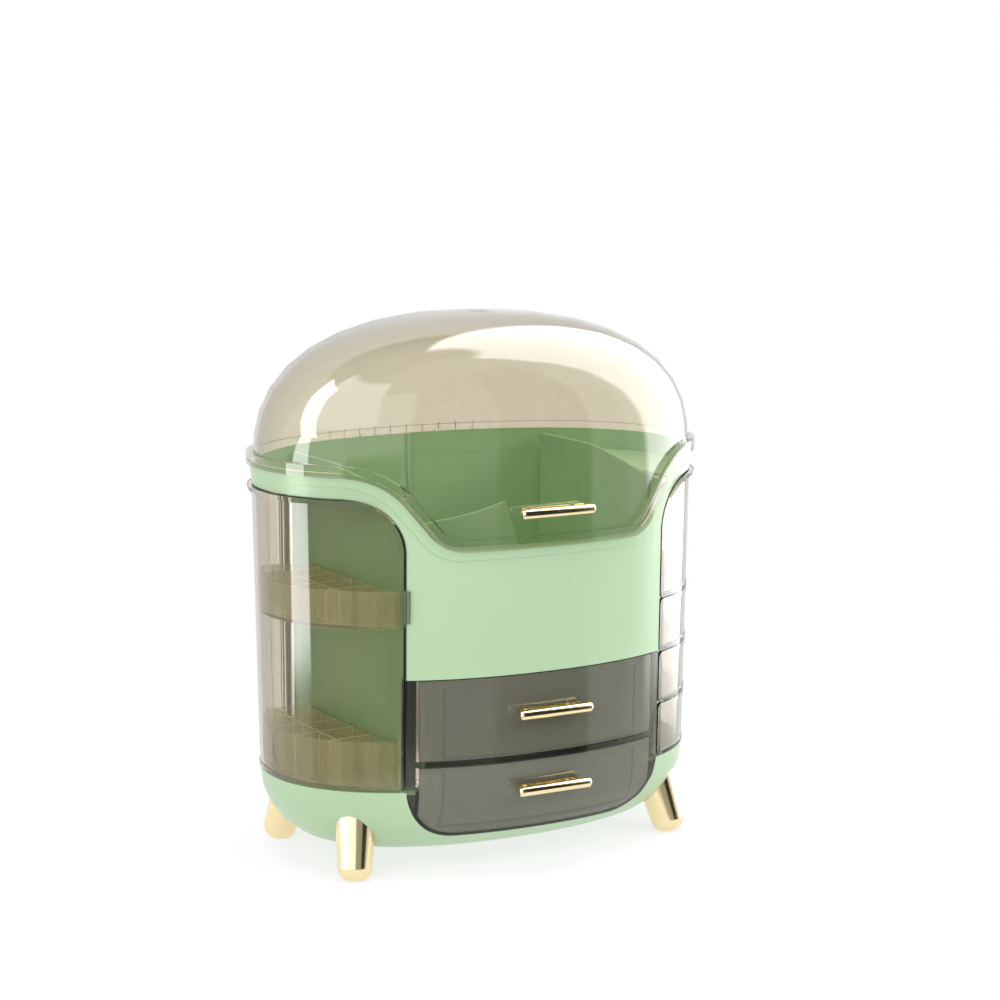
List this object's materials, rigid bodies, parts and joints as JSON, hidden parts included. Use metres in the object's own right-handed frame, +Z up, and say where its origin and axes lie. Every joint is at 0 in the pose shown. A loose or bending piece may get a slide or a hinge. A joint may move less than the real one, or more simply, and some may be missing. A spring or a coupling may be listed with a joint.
{
  "type": "makeup organizer",
  "caption": "Rounded cosmetics cabinet on splayed legs with a domed clear lid over a well, smoked drawers, a clear side door with racks and swing-out side trays.",
  "frame": {"origin": "on the ground, below the middle of the object's box, pulls included", "axes": "+Z up, -Y towards the drawer fronts, +X to the right as seen from the front"},
  "size_m": [0.3, 0.2069, 0.34],
  "materials": {
    "mint": "satin",
    "clear": "polished, see-through",
    "smoke": "polished, smoked see-through",
    "gold": "polished, gold anodised",
    "steel": "bright",
    "rubber": "matt",
    "nylon": "matt"
  },
  "bodies": {
    "cabinet": {"base_tub": "mint", "base_deck": "mint", "leg_front_left": "gold", "leg_front_right": "gold", "leg_rear_left": "gold", "leg_rear_right": "gold", "leg_pads": "rubber", "leg_screws": "steel", "drawer_sleeve": "mint", "drawer_frame": "clear", "left_bay_wall": "mint", "right_bay_wall": "mint", "rear_shell": "mint", "top_rim": "mint", "left_shelf": "mint", "right_shelf": "mint", "well_floor": "mint", "tall_divider": "mint", "side_divider": "mint", "low_divider": "mint", "door_rod": "steel", "tray_rod": "steel", "tray_washers": "nylon", "lid_hinge_pins": "steel"},
    "lid": {"lid_dome": "clear", "lid_handle": "gold", "lid_handle_screws": "steel"},
    "upper_drawer": {"upper_drawer": "smoke", "upper_drawer_divider": "smoke", "upper_drawer_handle": "gold", "upper_handle_screws": "steel"},
    "lower_drawer": {"lower_drawer": "smoke", "lower_drawer_divider": "smoke", "lower_drawer_handle": "gold", "lower_handle_screws": "steel"},
    "side_door": {"door_shell": "clear", "door_pull": "clear", "upper_rack": "clear", "upper_rack_grid": "clear", "lower_rack": "clear", "lower_rack_grid": "clear"},
    "tray_1": {"swing_tray_1": "clear"},
    "tray_2": {"swing_tray_2": "clear"},
    "tray_3": {"swing_tray_3": "clear"},
    "tray_4": {"swing_tray_4": "clear"}
  },
  "joints": [
    {"name": "lid_hinge", "type": "hinge", "parent": "cabinet", "child": "lid", "pos_m": [0, 0.10105, 0.247], "axis": [-1, 0, 0], "range_deg": [0, 100]},
    {"name": "upper_drawer_slide", "type": "slide", "parent": "cabinet", "child": "upper_drawer", "axis": [0, -1, 0], "range_m": [0, 0.11]},
    {"name": "lower_drawer_slide", "type": "slide", "parent": "cabinet", "child": "lower_drawer", "axis": [0, -1, 0], "range_m": [0, 0.11]},
    {"name": "door_hinge", "type": "hinge", "parent": "cabinet", "child": "side_door", "pos_m": [-0.104, 0.06632, 0.147], "axis": [0, 0, -1], "range_deg": [0, 100]},
    {"name": "tray_1_hinge", "type": "hinge", "parent": "cabinet", "child": "tray_1", "pos_m": [0.104, 0.06632, 0.075], "axis": [0, 0, 1], "range_deg": [0, 100]},
    {"name": "tray_2_hinge", "type": "hinge", "parent": "cabinet", "child": "tray_2", "pos_m": [0.104, 0.06632, 0.109], "axis": [0, 0, 1], "range_deg": [0, 100]},
    {"name": "tray_3_hinge", "type": "hinge", "parent": "cabinet", "child": "tray_3", "pos_m": [0.104, 0.06632, 0.143], "axis": [0, 0, 1], "range_deg": [0, 100]},
    {"name": "tray_4_hinge", "type": "hinge", "parent": "cabinet", "child": "tray_4", "pos_m": [0.104, 0.06632, 0.198], "axis": [0, 0, 1], "range_deg": [0, 100]}
  ]
}
